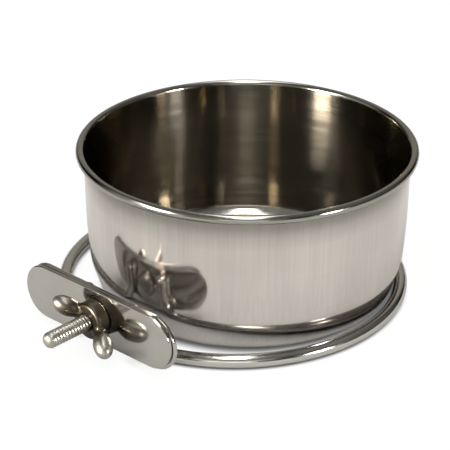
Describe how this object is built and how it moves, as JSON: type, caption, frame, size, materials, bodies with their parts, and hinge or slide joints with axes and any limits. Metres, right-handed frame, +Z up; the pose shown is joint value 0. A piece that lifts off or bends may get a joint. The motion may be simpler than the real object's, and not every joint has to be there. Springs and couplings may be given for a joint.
{
  "type": "seed cup",
  "caption": "Round drawn steel bird-cage seed cup with a rolled rim, standing in a wire ring holder with a bolt-on plate clamp and wing nut.",
  "frame": {"origin": "centre of the cup's flat base, on the surface that it and the holder stand on", "axes": "+Z up along the cup's axis; the clamp bolt points along -Y, away from the cup; +X to the right seen from the clamp's front"},
  "size_m": [0.1071, 0.1311, 0.0462],
  "materials": {
    "cup_steel": "polished stainless steel, faint upright polishing lines outside",
    "ring_steel": "bright polished wire",
    "plate_steel": "bright polished plate with softly rounded edges",
    "bolt_steel": "rolled screw thread, satin",
    "weld_steel": "dull weld metal",
    "nut_nickel": "bright nickel plate over a forging"
  },
  "bodies": {
    "holder": {"holder_ring": "ring_steel", "back_plate": "plate_steel", "clamp_bolt": "bolt_steel", "weld_beads": "weld_steel"},
    "cup": {"cup": "cup_steel"},
    "jaw": {"front_plate": "plate_steel"},
    "nut": {"wing_nut": "nut_nickel"}
  },
  "joints": [
    {"name": "cup_lift", "type": "slide", "parent": "holder", "child": "cup", "axis": [0, 0, 1], "range_m": [0, 0.06]},
    {"name": "jaw_slide", "type": "slide", "parent": "holder", "child": "jaw", "axis": [0, -1, 0], "range_m": [0, 0.01386]},
    {"name": "nut_turn", "type": "hinge", "parent": "jaw", "child": "nut", "pos_m": [-0.00167, -0.06105, 0.01102], "axis": [0, -1, 0], "range_deg": [0, 4680]}
  ],
  "couplings": [
    {"joint": "jaw_slide", "follows": "nut_turn", "m_per_rad": 0.00016844}
  ]
}
